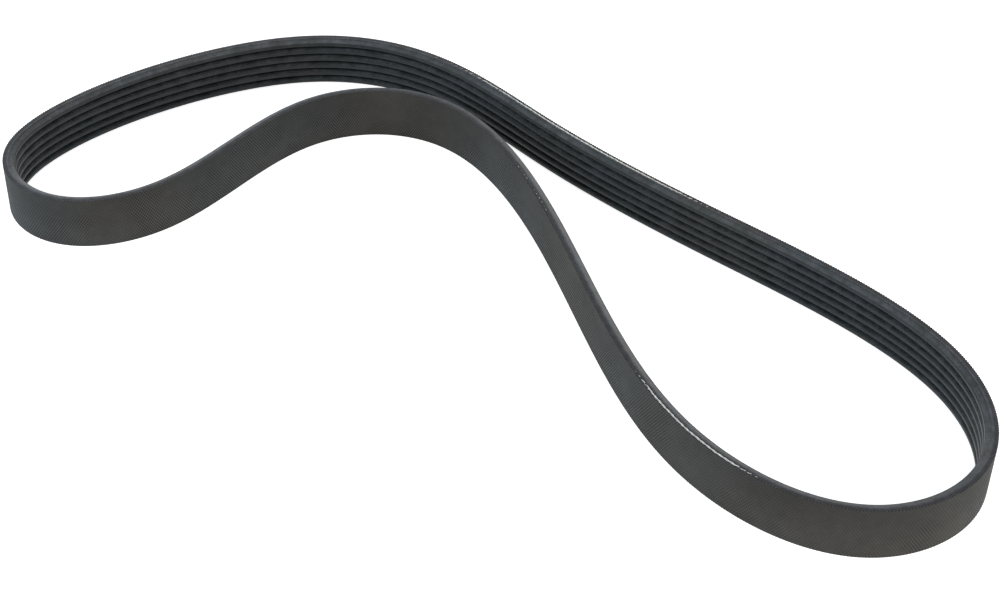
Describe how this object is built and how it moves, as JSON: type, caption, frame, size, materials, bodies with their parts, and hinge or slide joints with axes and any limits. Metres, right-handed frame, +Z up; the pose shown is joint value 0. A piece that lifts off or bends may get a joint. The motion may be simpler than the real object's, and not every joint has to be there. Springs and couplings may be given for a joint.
{
  "type": "serpentine belt",
  "caption": "Ribbed serpentine belt: a closed flat band with V-shaped ribs inside and a cloth-covered back, standing on its cut edge in a curved loop.",
  "frame": {"origin": "middle of the loop's footprint, on the surface that the belt stands on", "axes": "+Z is up, across the belt's width; +X runs along the loop's longest side"},
  "size_m": [0.359, 0.2678, 0.0214],
  "materials": {
    "belt_rubber": "matt black cured rubber, ground on the ribs, with a woven cloth back"
  },
  "bodies": {
    "root": {"belt": "belt_rubber"}
  },
  "joints": []
}
